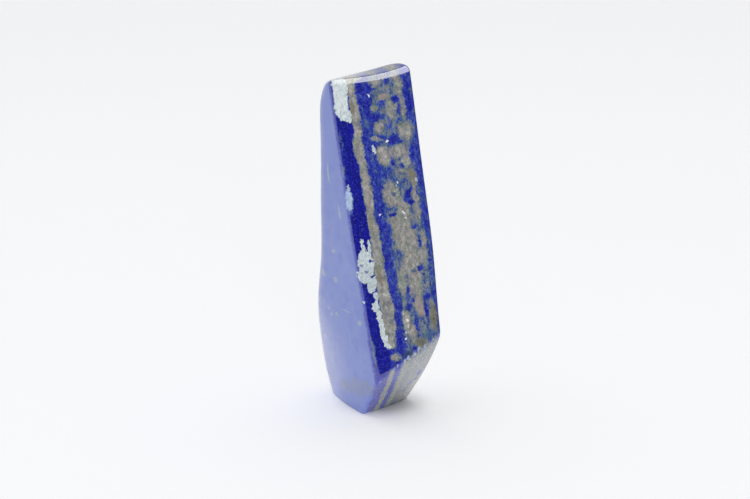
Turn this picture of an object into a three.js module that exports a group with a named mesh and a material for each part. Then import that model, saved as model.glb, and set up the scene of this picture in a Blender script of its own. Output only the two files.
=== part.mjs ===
// A hand-ground, polished piece of lapis lazuli: a tall freeform that stands on a small flat foot.
//
// Millimetres, +Z up. The stone stands on z = 0, and the origin is the middle of its footprint box.
// Its narrow banded face looks to -Y and its broad blue face to -X. The blue face was ground in two
// passes that run into each other, LEFT in front and FLANK behind, so it bends gently round.
//
// The surface is where gapAt(point) is zero. The gap is how far a point lies outside the ground face
// that it is furthest outside of, so it is negative inside the stone. A ground face is a plane with a
// shallow crown, because a soft lap never leaves a true flat. Each face is joined to the ones before
// it with a smooth maximum, which leaves the round that polishing gives the edge between them.

import * as THREE from "three";
import { mergeVertices } from "three/addons/utils/BufferGeometryUtils.js";

// ---- Driving dimensions, in millimetres and degrees --------------------------------------------

// turn: the way a face looks, where 0 is -Y and 90 is +X. rise: how far it looks up from level.
// reach: how far it lies from the origin. crown: the radius of its bulge, whose middle is level with
// height. edge: how wide the round is that joins it to the faces above it in this list.
const LEFT = { turn: -57, rise: -5.5, reach: 12.1, crown: 2000, height: 40, edge: 0 };
const FLANK = { turn: -70, rise: -10, reach: 11.6, crown: Infinity, height: 5, edge: 4 };
const FRONT = { turn: 23, rise: 7.5, reach: 24, crown: Infinity, height: 60, edge: 2.4 };
const RIGHT = { turn: 126, rise: 2.5, reach: 10.4, crown: 1300, height: 60, edge: 3 };
const BACK = { turn: 198.5, rise: -9, reach: -7.5, crown: 170, height: 45, edge: 7 };
const TOP = { turn: -60, rise: 70.5, reach: 103.5, crown: 500, height: 100, edge: 2.6 };
const SHOULDER = { turn: -103, rise: 37.5, reach: 75.5, crown: Infinity, height: 90, edge: 6 };
const HEEL = { turn: 48.5, rise: -36.5, reach: 5.3, crown: 170, height: 14, edge: 1.4 };

// The back swells out low down, where the block was left thick.
const SWELL = 27.5;
const SWELL_HEIGHT = 4;
const SWELL_SPAN = 39;

// The top was ground with a slight twist: this much lift for each square millimetre of x times y.
const TOP_TWIST = 0.022;

// The foot is flat on z = 0, with only its rim eased.
const FOOT_EDGE = 0.6;

// Slow waves that the lap leaves on every face but the foot: height, length, and the way they run.
const WAVES = [
  { height: 0.09, length: 37, turn: 25, rise: 64, phase: 0.4 },
  { height: 0.06, length: 24, turn: 140, rise: -38, phase: 5.2 },
  { height: 0.04, length: 15, turn: -70, rise: 12, phase: 4.7 },
];

// The spine runs up inside the stone. Every point of the surface is reached by one ray from it.
const SPINE_FOOT = new THREE.Vector3(-3, 0, 8);
const SPINE_CROWN = new THREE.Vector3(-5, -5, 96);
const RAY_LENGTH = 80;
const CAP_SHARE = 0.16; // the share of a meridian that fans out over each end of the spine

// Fineness of the mesh. BEND is how many millimetres of path one radian of turning counts for, so
// that rings and columns crowd together where an edge is crossed.
const RINGS = 84;
const COLUMNS = 50;
const BEND = 3.2;
const RING_SAMPLES = 400;
const COLUMN_SAMPLES = 240;
const MERIDIANS = 24;
const NORMAL_STEP = 0.02; // how far apart the gap is compared to find which way the surface looks
const SURFACE_TOLERANCE = 1e-7;
const LEAST_EFFORT = 1e-6;
const SEAM_TOLERANCE = 1e-4;

const LAPIS_BLUE = new THREE.Color(0.07, 0.09, 0.36);
const POLISH_ROUGHNESS = 0.16;

// ---- The surface -------------------------------------------------------------------------------

// The unit vector that looks to a turn and a rise.
function lookTo(turn, rise) {
  const t = THREE.MathUtils.degToRad(turn);
  const r = THREE.MathUtils.degToRad(rise);
  return new THREE.Vector3(Math.sin(t) * Math.cos(r), -Math.cos(t) * Math.cos(r), Math.sin(r));
}

// How far a point lies outside one ground face, with half the square of its distance from the
// crown's middle, over the crown's radius, added.
function faceGap(point, face) {
  const look = lookTo(face.turn, face.rise);
  const fromMiddle = point.clone().setZ(point.z - face.height);
  const outward = fromMiddle.dot(look);
  const sideways = fromMiddle.lengthSq() - outward * outward;
  return point.dot(look) - face.reach + sideways / (2 * face.crown);
}

function backGap(point) {
  const aboveSwell = (point.z - SWELL_HEIGHT) / SWELL_SPAN;
  return faceGap(point, BACK) - SWELL * Math.exp(-aboveSwell * aboveSwell);
}

function topGap(point) {
  return faceGap(point, TOP) - TOP_TWIST * point.x * point.y;
}

function lapWaves(point) {
  return WAVES.reduce((sum, wave) => {
    const along = point.dot(lookTo(wave.turn, wave.rise));
    return sum + wave.height * Math.sin((2 * Math.PI * along) / wave.length + wave.phase);
  }, 0);
}

// The larger of two gaps, raised by up to a sixth of the width where they are nearly equal, which
// cuts the sharp edge back to a round.
function joinGaps(first, second, width) {
  const near = Math.max(width - Math.abs(first - second), 0) / width;
  return Math.max(first, second) + (near * near * near * width) / 6;
}

function gapAt(point) {
  let gap = faceGap(point, LEFT);
  gap = joinGaps(gap, faceGap(point, FLANK), FLANK.edge);
  gap = joinGaps(gap, faceGap(point, FRONT), FRONT.edge);
  gap = joinGaps(gap, faceGap(point, RIGHT), RIGHT.edge);
  gap = joinGaps(gap, backGap(point), BACK.edge);
  gap = joinGaps(gap, topGap(point), TOP.edge);
  gap = joinGaps(gap, faceGap(point, SHOULDER), SHOULDER.edge);
  gap = joinGaps(gap, faceGap(point, HEEL), HEEL.edge);
  gap += lapWaves(point);
  return joinGaps(gap, -point.z, FOOT_EDGE);
}

// The way the surface looks at a point: the uphill way of the gap.
function normalAt(point) {
  const slope = (x, y, z) => {
    const ahead = gapAt(point.clone().add(new THREE.Vector3(x, y, z)));
    const behind = gapAt(point.clone().sub(new THREE.Vector3(x, y, z)));
    return ahead - behind;
  };
  const s = NORMAL_STEP;
  return new THREE.Vector3(slope(s, 0, 0), slope(0, s, 0), slope(0, 0, s)).normalize();
}

// ---- From the spine to the surface -------------------------------------------------------------

const spineUp = SPINE_CROWN.clone().sub(SPINE_FOOT).normalize();
const spineBack = new THREE.Vector3(0, 1, 0).projectOnPlane(spineUp).normalize();
const spineRight = spineBack.clone().cross(spineUp);

// The surface point at a share around the stone and a share down a meridian, from the crown's pole
// to the foot's: the ray fans down over the crown, slides down the spine, and fans in under the foot.
function surfaceAt(around, down) {
  const fanned = Math.max(0, 1 - down / CAP_SHARE) - Math.max(0, 1 - (1 - down) / CAP_SHARE);
  const lift = (fanned * Math.PI) / 2;
  const slide = THREE.MathUtils.clamp((down - CAP_SHARE) / (1 - 2 * CAP_SHARE), 0, 1);
  const start = SPINE_CROWN.clone().lerp(SPINE_FOOT, slide);
  const angle = 2 * Math.PI * around;
  const ray = spineUp.clone().multiplyScalar(Math.sin(lift));
  ray.addScaledVector(spineRight, -Math.cos(angle) * Math.cos(lift));
  ray.addScaledVector(spineBack, -Math.sin(angle) * Math.cos(lift));
  let inside = 0;
  let outside = RAY_LENGTH;
  while (outside - inside > SURFACE_TOLERANCE) {
    const halfway = (inside + outside) / 2;
    if (gapAt(start.clone().addScaledVector(ray, halfway)) < 0) inside = halfway;
    else outside = halfway;
  }
  return start.addScaledVector(ray, inside);
}

// What each step of a path counts for: its length and how far the surface turns over it, and never
// nothing, because a path over a pole stands still.
function effortOf(path) {
  const looks = path.map(normalAt);
  return path.slice(1).map((point, i) => {
    return point.distanceTo(path[i]) + BEND * looks[i + 1].angleTo(looks[i]) + LEAST_EFFORT;
  });
}

// Shares from 0 to 1 that cut a path into steps of equal effort.
function equalSteps(efforts, steps) {
  const total = efforts.reduce((sum, effort) => sum + effort, 0);
  const shares = [0];
  let done = 0;
  efforts.forEach((effort, i) => {
    while (shares.length < steps && ((done + effort) / total) * steps >= shares.length) {
      const part = ((shares.length / steps) * total - done) / effort;
      shares.push((i + part) / efforts.length);
    }
    done += effort;
  });
  shares.push(1);
  return shares;
}

// Where the rings lie: the effort down all the meridians together, shared out equally.
function ringShares() {
  const sum = new Array(RING_SAMPLES).fill(0);
  for (let m = 0; m < MERIDIANS; m++) {
    const path = Array.from({ length: RING_SAMPLES + 1 }, (_, i) => {
      return surfaceAt(m / MERIDIANS, i / RING_SAMPLES);
    });
    effortOf(path).forEach((effort, i) => (sum[i] += effort));
  }
  return equalSteps(sum, RINGS);
}

// Where the columns cross one ring.
function columnShares(down) {
  const path = Array.from({ length: COLUMN_SAMPLES + 1 }, (_, i) => {
    return surfaceAt(i / COLUMN_SAMPLES, down);
  });
  return equalSteps(effortOf(path), COLUMNS);
}

// ---- The stone ---------------------------------------------------------------------------------

// A sphere's grid of rings and columns, with each vertex put on the stone's surface.
function stoneGeometry() {
  const grid = new THREE.SphereGeometry(1, COLUMNS, RINGS);
  const place = grid.getAttribute("position");
  ringShares().forEach((down, ring) => {
    columnShares(down).forEach((around, column) => {
      const point = surfaceAt(around % 1, down);
      place.setXYZ(ring * (COLUMNS + 1) + column, point.x, point.y, point.z);
    });
  });
  grid.deleteAttribute("normal");
  grid.deleteAttribute("uv");
  const stone = mergeVertices(grid, SEAM_TOLERANCE);
  stone.computeBoundingBox();
  const middle = stone.boundingBox.getCenter(new THREE.Vector3());
  stone.translate(-middle.x, -middle.y, 0);
  stone.computeVertexNormals();
  return stone;
}

const polishedLapis = new THREE.MeshStandardMaterial({
  name: "polished lapis lazuli",
  color: LAPIS_BLUE,
  roughness: POLISH_ROUGHNESS,
  metalness: 0,
});

const stone = new THREE.Mesh(stoneGeometry(), polishedLapis);
stone.name = "lapis_stone";

const group = new THREE.Group();
group.name = "polished lapis lazuli freeform";
group.add(stone);

export default group;
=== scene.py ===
# %% [markdown]
# # A polished piece of lapis lazuli
#
# This lesson dresses one tall, hand-ground stone. The stone's size and shape were settled in CAD, so the
# first step loads that model and keeps its box. Everything made here has to stay inside it.

# %% Load the frame
import math

import bpy
import numpy as np
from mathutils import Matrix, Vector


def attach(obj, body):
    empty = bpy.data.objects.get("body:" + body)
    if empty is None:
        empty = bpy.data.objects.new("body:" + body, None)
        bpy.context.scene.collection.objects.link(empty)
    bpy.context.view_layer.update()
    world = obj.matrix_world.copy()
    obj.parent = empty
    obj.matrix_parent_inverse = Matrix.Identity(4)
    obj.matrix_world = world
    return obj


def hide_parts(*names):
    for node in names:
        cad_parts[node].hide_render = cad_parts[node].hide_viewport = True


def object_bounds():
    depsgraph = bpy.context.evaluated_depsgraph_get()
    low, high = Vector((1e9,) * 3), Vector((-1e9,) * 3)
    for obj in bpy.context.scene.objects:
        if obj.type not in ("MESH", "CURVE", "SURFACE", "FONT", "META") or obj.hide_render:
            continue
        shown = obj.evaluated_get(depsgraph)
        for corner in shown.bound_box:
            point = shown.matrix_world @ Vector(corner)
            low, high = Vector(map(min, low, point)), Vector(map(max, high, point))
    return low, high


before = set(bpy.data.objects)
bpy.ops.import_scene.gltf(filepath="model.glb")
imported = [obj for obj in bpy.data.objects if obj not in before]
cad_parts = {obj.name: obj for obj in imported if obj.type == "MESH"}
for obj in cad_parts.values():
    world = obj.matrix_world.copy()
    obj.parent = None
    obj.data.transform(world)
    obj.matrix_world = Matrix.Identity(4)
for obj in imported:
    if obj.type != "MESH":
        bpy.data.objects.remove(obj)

MM = 0.001
cad_low, cad_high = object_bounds()
CAD_MIDDLE = np.array([(cad_low.x + cad_high.x) / 2, (cad_low.y + cad_high.y) / 2, 0]) / MM

# %% [markdown]
# ## The camera
#
# A long lens, a little above the table and looking slightly down on the stone. It could be aimed with a
# Track To constraint, but a plain turn about X says the same thing in one number: 90 degrees looks level,
# and each degree less looks down by one.

# %% Camera
CAMERA_PLACE = (-1.0, -479.27, 170.96)
CAMERA_DOWN = 14
LENS, SENSOR_WIDTH, NEAREST_SEEN = 75, 36, 10

camera_data = bpy.data.cameras.new("camera")
camera_data.lens = LENS
camera_data.sensor_width = SENSOR_WIDTH
camera_data.clip_start = NEAREST_SEEN * MM
camera = bpy.data.objects.new("camera", camera_data)
camera.location = [place * MM for place in CAMERA_PLACE]
camera.rotation_euler = (math.radians(90 - CAMERA_DOWN), 0, 0)
bpy.context.scene.collection.objects.link(camera)
bpy.context.scene.camera = camera
print("camera at", CAMERA_PLACE, "mm, looking down", CAMERA_DOWN, "degrees")

# %% [markdown]
# ## The shape of the stone
#
# Somebody ground this stone on a flat lap and then polished it. Each face is nearly a plane with a shallow
# crown, and polishing has rounded the edges between them. It could be cut from a block with bmesh and
# bevelled, but a bevel has one width and leaves creases where three edges meet.
#
# So the surface is written as a formula instead: the gap, which is how far a point lies outside the face
# that it is furthest outside of. The gap is zero on the surface. Two faces are joined with a smooth maximum,
# whose width is the round of their edge. These are the same faces, with the same sizes, as in CAD. The blue
# face was ground in two passes that run into each other, left in front and flank behind.

# %% Ground faces
# turn: the way a face looks, where 0 is -Y and 90 is +X. rise: how far it looks up from level.
# reach: how far it lies from the origin. bulge: one over the crown's radius. height: the crown's middle.
# edge: how wide the round is that joins it to the faces above it in this list. Millimetres and degrees.
FACES = [dict(zip(("name", "turn", "rise", "reach", "bulge", "height", "edge"), face)) for face in (
    ("left", -57, -5.5, 12.1, 1 / 2000, 40, 0),
    ("flank", -70, -10, 11.6, 0, 5, 4),
    ("front", 23, 7.5, 24, 0, 60, 2.4),
    ("right", 126, 2.5, 10.4, 1 / 1300, 60, 3),
    ("back", 198.5, -9, -7.5, 1 / 170, 45, 7),
    ("top", -60, 70.5, 103.5, 1 / 500, 100, 2.6),
    ("shoulder", -103, 37.5, 75.5, 0, 90, 6),
    ("heel", 48.5, -36.5, 5.3, 1 / 170, 14, 1.4),
)]
SWELL, SWELL_HEIGHT, SWELL_SPAN = 27.5, 4, 39
TOP_TWIST = 0.022
FOOT_EDGE = 0.6
WAVES = [(0.09, 37, 25, 64, 0.4), (0.06, 24, 140, -38, 5.2), (0.04, 15, -70, 12, 4.7)]
HAIR = 0.06  # the finished skin lies this far inside the CAD faces, so that it never leaves their box


def look_to(turn, rise):
    """The unit vector that looks to a turn and a rise."""
    t, r = math.radians(turn), math.radians(rise)
    return np.array([math.sin(t) * math.cos(r), -math.cos(t) * math.cos(r), math.sin(r)])


def face_gap(points, face):
    """How far points lie outside one face: their distance past its plane, plus half the square of their
    distance from the crown's middle times the bulge."""
    look = look_to(face["turn"], face["rise"])
    from_middle = points - np.array([0, 0, face["height"]])
    outward = from_middle @ look
    sideways = (from_middle**2).sum(-1) - outward**2
    gap = points @ look - face["reach"] + sideways * face["bulge"] / 2
    if face["name"] == "back":
        gap = gap - SWELL * np.exp(-(((points[..., 2] - SWELL_HEIGHT) / SWELL_SPAN) ** 2))
    if face["name"] == "top":
        gap = gap - TOP_TWIST * points[..., 0] * points[..., 1]
    return gap


def join(first, second, width):
    """The larger of two gaps, raised by up to a sixth of the width where they are nearly equal."""
    near = np.clip(width - np.abs(first - second), 0, None) / width
    return np.maximum(first, second) + near**3 * width / 6


def gap_at(points):
    """The joined gap of all the faces, with the lap's slow waves added, then cut flat for the foot."""
    gap = face_gap(points, FACES[0])
    for face in FACES[1:]:
        gap = join(gap, face_gap(points, face), face["edge"])
    for height, length, turn, rise, phase in WAVES:
        gap = gap + height * np.sin(2 * np.pi * (points @ look_to(turn, rise)) / length + phase)
    return join(gap + HAIR, -points[..., 2], FOOT_EDGE)


print("faces:", [face["name"] for face in FACES])

# %% [markdown]
# The surface has to become a mesh. Rays leave a spine inside the stone: they fan out over the top, slide
# down the spine, and fan in under the foot, so two shares, around and down, name every point. Halving the
# ray again and again finds where the gap turns from minus to plus.

# %% Rays from the spine
SPINE_FOOT = np.array([-3.0, 0, 8])
SPINE_CROWN = np.array([-5.0, -5, 96])
CAP_SHARE = 0.16
RAY_LENGTH = 80
HALVINGS = 32

spine_up = (SPINE_CROWN - SPINE_FOOT) / np.linalg.norm(SPINE_CROWN - SPINE_FOOT)
spine_back = np.array([0.0, 1, 0]) - spine_up[1] * spine_up
spine_back /= np.linalg.norm(spine_back)
spine_right = np.cross(spine_back, spine_up)


def surface_at(around, down):
    """Points of the surface for arrays of two shares. The ray's lift goes from straight up, over the first
    share of down, to level, and from level, over the last share, to straight down."""
    fanned = np.clip(1 - down / CAP_SHARE, 0, None) - np.clip(1 - (1 - down) / CAP_SHARE, 0, None)
    lift = fanned * np.pi / 2
    slide = np.clip((down - CAP_SHARE) / (1 - 2 * CAP_SHARE), 0, 1)
    start = SPINE_CROWN + slide[..., None] * (SPINE_FOOT - SPINE_CROWN)
    angle = 2 * np.pi * around
    ray = np.sin(lift)[..., None] * spine_up
    ray = ray - (np.cos(angle) * np.cos(lift))[..., None] * spine_right
    ray = ray - (np.sin(angle) * np.cos(lift))[..., None] * spine_back
    inside, outside = np.zeros(lift.shape), np.full(lift.shape, float(RAY_LENGTH))
    for _ in range(HALVINGS):
        halfway = (inside + outside) / 2
        within = gap_at(start + halfway[..., None] * ray) < 0
        inside, outside = np.where(within, halfway, inside), np.where(within, outside, halfway)
    return start + inside[..., None] * ray


print("spine from", SPINE_FOOT.tolist(), "to", SPINE_CROWN.tolist())

# %% [markdown]
# An even grid would spend as many points on the flat faces as on the rounded edges. So a coarse grid is
# measured first. Each of its steps counts for its length plus a price for how far the surface turns, and
# the fine grid's rings and columns are then shared out at equal cost. They crowd together over the edges.

# %% Share out the rings and columns
RINGS, COLUMNS = 340, 284
COARSE_RINGS, COARSE_COLUMNS = 420, 260
BEND = 3.2  # millimetres of path that one radian of turning counts for
NORMAL_STEP = 0.02
LEAST_COST = 1e-6  # a path over a pole stands still, and still has to cost something


def normal_at(points):
    """The way the surface looks: the uphill way of the gap, from differences along X, Y and Z."""
    steps = np.eye(3) * NORMAL_STEP
    uphill = np.stack([gap_at(points + step) - gap_at(points - step) for step in steps], -1)
    return uphill / np.linalg.norm(uphill, axis=-1, keepdims=True)


def cost_along(points, normals, axis):
    """What each step along one axis of the grid costs."""
    length = np.linalg.norm(np.diff(points, axis=axis), axis=-1)
    turning = np.linalg.norm(np.diff(normals, axis=axis), axis=-1)
    return length + BEND * turning + LEAST_COST


def equal_shares(costs, steps):
    """Shares from 0 to 1 at which the running total of the costs passes equal parts of the whole."""
    total = np.concatenate([[0], np.cumsum(costs)])
    return np.interp(np.linspace(0, total[-1], steps + 1), total, np.linspace(0, 1, len(total)))


coarse_down, coarse_around = np.meshgrid(
    np.linspace(0, 1, COARSE_RINGS + 1), np.linspace(0, 1, COARSE_COLUMNS + 1), indexing="ij")
coarse = surface_at(coarse_around, coarse_down)
coarse_normals = normal_at(coarse)
down_shares = equal_shares(cost_along(coarse, coarse_normals, 0).sum(1), RINGS)
around_costs = cost_along(coarse, coarse_normals, 1)
ring_rows = np.interp(down_shares, np.linspace(0, 1, COARSE_RINGS + 1), np.arange(COARSE_RINGS + 1))
around_shares = np.array([
    equal_shares(around_costs[min(round(row), COARSE_RINGS)], COLUMNS)[:-1] for row in ring_rows])
print("rings and columns:", around_shares.shape)

# %% [markdown]
# ## The rock's own axes
#
# The rock lies in layers parallel to the broad blue face. X, Y and Z would do for one mark, but a layer would
# need all three, so places are given in rock axes: depth counts millimetres below that face, inward counts
# from front to back, and along runs up the layers.

# %% Rock axes
LAYERS = dict(turn=-66.5, rise=-6)  # the way the layers look, and the front face that cuts across them
BANDED_FACE = dict(turn=23, rise=7.5)
ROCK_DEPTH = -look_to(**LAYERS)
ROCK_ALONG = np.cross(look_to(**BANDED_FACE), ROCK_DEPTH)
ROCK_ALONG /= np.linalg.norm(ROCK_ALONG)
ROCK_INWARD = np.cross(ROCK_ALONG, ROCK_DEPTH)
ROCK_START = np.array([-10.353, -4.876, -1.189])  # where depth, inward and along are all zero
MESH_SHIFT = np.array([0.099, -3.243, 0])  # from the finished stone's place to the place of the formula
FRONT_SKIN = -23.66  # where the front face lies along the inward axis


def rock_to_place(depth, inward, along):
    """Turns rock axes into the formula's own X, Y and Z."""
    return ROCK_START + depth * ROCK_DEPTH + inward * ROCK_INWARD + along * ROCK_ALONG


print("layers lie across", np.round(ROCK_DEPTH, 3).tolist(), "and run up", np.round(ROCK_ALONG, 3).tolist())

# %% [markdown]
# ## Chips and pits
#
# The stone has been handled. Small flakes have come off the sharp edge above the heel, and the brown matrix
# near the right edge holds a few open pits. A bump map can't change an outline, so they are cut into the
# mesh: each one presses the surface in along its normal, by its depth times one minus the square of the
# distance over its size.

# %% Dents
# depth, inward, along, size across, size along the edge, how deep
CHIPS = [
    (13.4, -23.6, 16.6, 0.5, 0.8, 0.26),
    (14.9, -23.6, 17.2, 0.5, 1.2, 0.36),
    (17, -23.6, 18.3, 0.6, 0.9, 0.34),
    (18.6, -23.6, 18.9, 0.6, 1.4, 0.42),
    (20.9, -23.5, 19.8, 0.4, 0.8, 0.28),
    (10.6, -23.7, 16, 0.3, 0.5, 0.15),
    (4.4, -22, 12.2, 0.3, 0.6, 0.15),
]
PITS = [
    (25.8, -23.5, 31, 0.35, 0.5, 0.30),
    (26.1, -23.4, 28.7, 0.40, 0.7, 0.36),
    (26.4, -23.2, 26.8, 0.30, 0.5, 0.25),
    (25.2, -23.6, 28, 0.25, 0.4, 0.20),
    (27.2, -22.8, 83, 0.30, 0.4, 0.20),
    (26.6, -23.2, 85.6, 0.30, 0.3, 0.20),
]


def press_dents(points, normals, dents):
    """Moves points in along their normals: depth times one minus the squared distance over the size."""
    for depth, inward, along, across, length, deep in dents:
        away = points - rock_to_place(depth, inward, along)
        run = away @ ROCK_ALONG
        side = np.sqrt(np.clip((away**2).sum(-1) - run**2, 0, None))
        nearness = np.clip(1 - (side / across) ** 2 - (run / length) ** 2, 0, 1)
        points = points - (deep * nearness)[..., None] * normals
    return points


print(len(CHIPS), "chips and", len(PITS), "pits")

# %% [markdown]
# The points become one closed skin. A UV sphere could be pushed into shape, but its rings are evenly spaced,
# so they are joined by hand: four-sided faces all over, and a fan of triangles at each pole.

# %% Build the stone's mesh
def closed_grid(points):
    """A grid of rings into a closed mesh: the first and last ring are single points, the columns wrap."""
    rings, columns = points.shape[0], points.shape[1]
    vertices = np.concatenate([points[:1, 0], points[1:-1].reshape(-1, 3), points[-1:, 0]])
    ring = 1 + np.arange(rings - 3)[:, None] * columns
    here = np.arange(columns)[None]
    there = (here + 1) % columns
    quads = np.stack([ring + here, ring + columns + here, ring + columns + there, ring + there], -1)
    last = 1 + (rings - 3) * columns
    here, there = here[0], there[0]
    crown = np.stack([np.zeros_like(here), 1 + here, 1 + there], -1)
    foot = np.stack([np.full_like(here, len(vertices) - 1), last + there, last + here], -1)
    return vertices, quads.reshape(-1, 4), np.concatenate([crown, foot])


def mesh_from(name, vertices, quads, triangles):
    """Puts arrays of vertices, four-sided and three-sided faces into a smooth-shaded mesh object."""
    mesh = bpy.data.meshes.new(name)
    corners = np.concatenate([quads.ravel(), triangles.ravel()])
    sides = np.concatenate([np.full(len(quads), 4), np.full(len(triangles), 3)])
    mesh.vertices.add(len(vertices))
    mesh.loops.add(len(corners))
    mesh.polygons.add(len(sides))
    mesh.vertices.foreach_set("co", vertices.astype(np.float32).ravel())
    mesh.loops.foreach_set("vertex_index", corners.astype(np.int32))
    mesh.polygons.foreach_set("loop_start", (np.cumsum(sides) - sides).astype(np.int32))
    mesh.polygons.foreach_set("use_smooth", np.ones(len(sides), bool))
    mesh.update(calc_edges=True)
    mesh.validate()
    piece = bpy.data.objects.new(name, mesh)
    bpy.context.scene.collection.objects.link(piece)
    return piece


fine_down = np.repeat(down_shares[:, None], COLUMNS, 1)
skin = surface_at(around_shares, fine_down)
skin = press_dents(skin, normal_at(skin), CHIPS + PITS)
low, high = skin.reshape(-1, 3).min(0), skin.reshape(-1, 3).max(0)
skin = skin - np.array([(low[0] + high[0]) / 2, (low[1] + high[1]) / 2, 0]) + CAD_MIDDLE
skin[..., 2] = np.clip(skin[..., 2], 0, None)
vertices, quads, triangles = closed_grid(skin)
stone = mesh_from("lapis_freeform", vertices * MM, quads, triangles)
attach(stone, "root")
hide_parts("lapis_stone")
print("stone:", len(stone.data.vertices), "vertices and", (high - low).round(2).tolist(), "mm")

# %% [markdown]
# ## The table and the backdrop
#
# The stone stands on a pale sheet that runs back and then sweeps up behind it, so there is no line where
# floor and wall meet. Two planes would do, but they leave that line. Here one profile is carried along X:
# level, then a quarter of a circle, then straight up.
#
# It is cut into three pieces of the same sheet. The stone mirrors only the left one. The other two light it
# and can be seen, but its mirror images look past them, at the room that the world cell paints.

# %% Stage
APRON_FRONT, SHEET_FRONT, SHEET_BACK, HALF_WIDTH = -4500, -200, 4500, 4500
SWEEP_RADIUS, WALL_HEIGHT = 800, 1600
SIDE_SPLIT = 60


def sweep_profile(steps=24):
    """Y and Z of the sheet: level to where the sweep begins, a quarter circle, and then up."""
    turn = np.linspace(0, np.pi / 2, steps)
    bend_y = SHEET_BACK - SWEEP_RADIUS + SWEEP_RADIUS * np.sin(turn)
    bend_z = SWEEP_RADIUS * (1 - np.cos(turn))
    along_y = np.concatenate([[SHEET_FRONT], bend_y, [SHEET_BACK]])
    return np.stack([along_y, np.concatenate([[0], bend_z, [WALL_HEIGHT]])], -1)


def carried_across(name, profile, left=-HALF_WIDTH, right=HALF_WIDTH):
    """A sheet: the profile in Y and Z, carried along X from one side to the other."""
    across = np.repeat(np.array([[left, right]]), len(profile), 0)
    places = np.stack([across, *np.repeat(profile.T[..., None], 2, -1)], -1)
    row = np.arange(len(profile) - 1) * 2
    quads = np.stack([row, row + 1, row + 3, row + 2], -1)
    return mesh_from(name, places.reshape(-1, 3) * MM, quads, np.zeros((0, 3), int))


backdrop = carried_across("backdrop_sheet", sweep_profile(), right=SIDE_SPLIT)
side_sheet = carried_across("side_sheet", sweep_profile(), left=SIDE_SPLIT)
apron = carried_across("apron_sheet", np.array([[APRON_FRONT, 0.0], [SHEET_FRONT, 0.0]]))
sheets = (backdrop, side_sheet, apron)
side_sheet.visible_glossy = False
apron.visible_glossy = False
print("backdrop strips:", len(backdrop.data.polygons))

# %% [markdown]
# Node trees are made of many small steps, so six short helpers keep the next cells readable. They add a node
# and fill its sockets, do one sum, do one sum of vectors, scale a vector, mix two values, and make a ramp.

# %% Helpers for node trees
def add(tree, kind, sockets=None, **settings):
    """Adds a shader node. Sockets are named or numbered; each gets a value or a link."""
    node = tree.nodes.new("ShaderNode" + kind)
    for name, value in settings.items():
        setattr(node, name, value)
    for name, value in (sockets or {}).items():
        if isinstance(value, bpy.types.NodeSocket):
            tree.links.new(value, node.inputs[name])
        else:
            node.inputs[name].default_value = value
    return node


def sum_of(tree, operation, *values, clamp=False):
    """One Math node; its values are numbers or sockets."""
    return add(tree, "Math", dict(enumerate(values)), operation=operation, use_clamp=clamp).outputs[0]


def vector_of(tree, operation, *values):
    """One Vector Math node; its values are vectors or sockets."""
    return add(tree, "VectorMath", dict(enumerate(values)), operation=operation).outputs[0]


def scaled(tree, vector, scale):
    """A vector or colour times a number."""
    return add(tree, "VectorMath", {0: vector, "Scale": scale}, operation="SCALE").outputs[0]


def between(tree, factor, first, second, kind="FLOAT"):
    """Mixes two numbers or colours: the first where the factor is 0, the second where it is 1."""
    names = {"FLOAT": (2, 3, 0), "RGBA": (6, 7, 2)}[kind]
    node = add(tree, "Mix", {0: factor, names[0]: first, names[1]: second}, data_type=kind)
    return node.outputs[names[2]]


def ramp(tree, factor, stops):
    """A colour ramp: a list of places and their colours."""
    node = add(tree, "ValToRGB", {0: factor})
    band = node.color_ramp
    first, last = band.elements[0], band.elements[1]
    first.position, last.position = stops[0][0], stops[-1][0]
    first.color, last.color = (*stops[0][1], 1), (*stops[-1][1], 1)
    for place, colour in stops[1:-1]:
        band.elements.new(place).color = (*colour, 1)
    return node.outputs[0]


print("helpers ready")

# %% [markdown]
# The sheet is opal acrylic that glows by itself, like a light table lit from below. The glow is painted light
# that fills the shadow. A lighter shadow could come from more lamps, but each lamp would be mirrored too.
# Close round the foot the glow fades out towards a point under it, which paints a dark contact shadow there.

# %% Paint the sheet
PALE_SHEET, SHEET_PAINTED_GLOW, PAINTED_GLOW_COLOUR = (0.86, 0.865, 0.875), 0.36, (0.985, 0.99, 1.0)
SHEET_ROUGHNESS, SHEET_SHEEN = 0.9, 0.1
PAINTED_SHADOW_MIDDLE, PAINTED_SHADOW_DARK, PAINTED_SHADOW_CLEAR = (1.5, 2, 0), 5, 18

sheet_paint = bpy.data.materials.new("matt_white_sheet_painted_glow")
sheet_paint.use_nodes = True
sheet_shader = sheet_paint.node_tree.nodes["Principled BSDF"]
# Painted light: the sheet's emission makes it glow by itself and fills the shadow round the stone.
for socket, value in (("Base Color", (*PALE_SHEET, 1)), ("Roughness", SHEET_ROUGHNESS),
                      ("Specular IOR Level", SHEET_SHEEN), ("Emission Strength", SHEET_PAINTED_GLOW)):
    sheet_shader.inputs[socket].default_value = value
sheet_nodes = sheet_paint.node_tree
painted_shadow_middle = [part * MM for part in PAINTED_SHADOW_MIDDLE]
sheet_place = add(sheet_nodes, "TexCoord").outputs["Object"]
from_painted_shadow = add(sheet_nodes, "VectorMath", {0: sheet_place, 1: painted_shadow_middle}, operation="DISTANCE")
from_painted_shadow = from_painted_shadow.outputs["Value"]
# Painted shadow: the glow fades out towards a point under the foot, so the sheet is dark where the stone
# stands.
painted_glow_share = add(sheet_nodes, "MapRange", {0: from_painted_shadow, 1: PAINTED_SHADOW_DARK * MM, 2: PAINTED_SHADOW_CLEAR * MM},
                 interpolation_type="SMOOTHSTEP").outputs[0]
glow = scaled(sheet_nodes, PAINTED_GLOW_COLOUR, painted_glow_share)
sheet_nodes.links.new(glow, sheet_shader.inputs["Emission Color"])
for sheet in sheets:
    sheet.data.materials.append(sheet_paint)
print("sheet colour", PALE_SHEET, "and glow", SHEET_PAINTED_GLOW)

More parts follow.
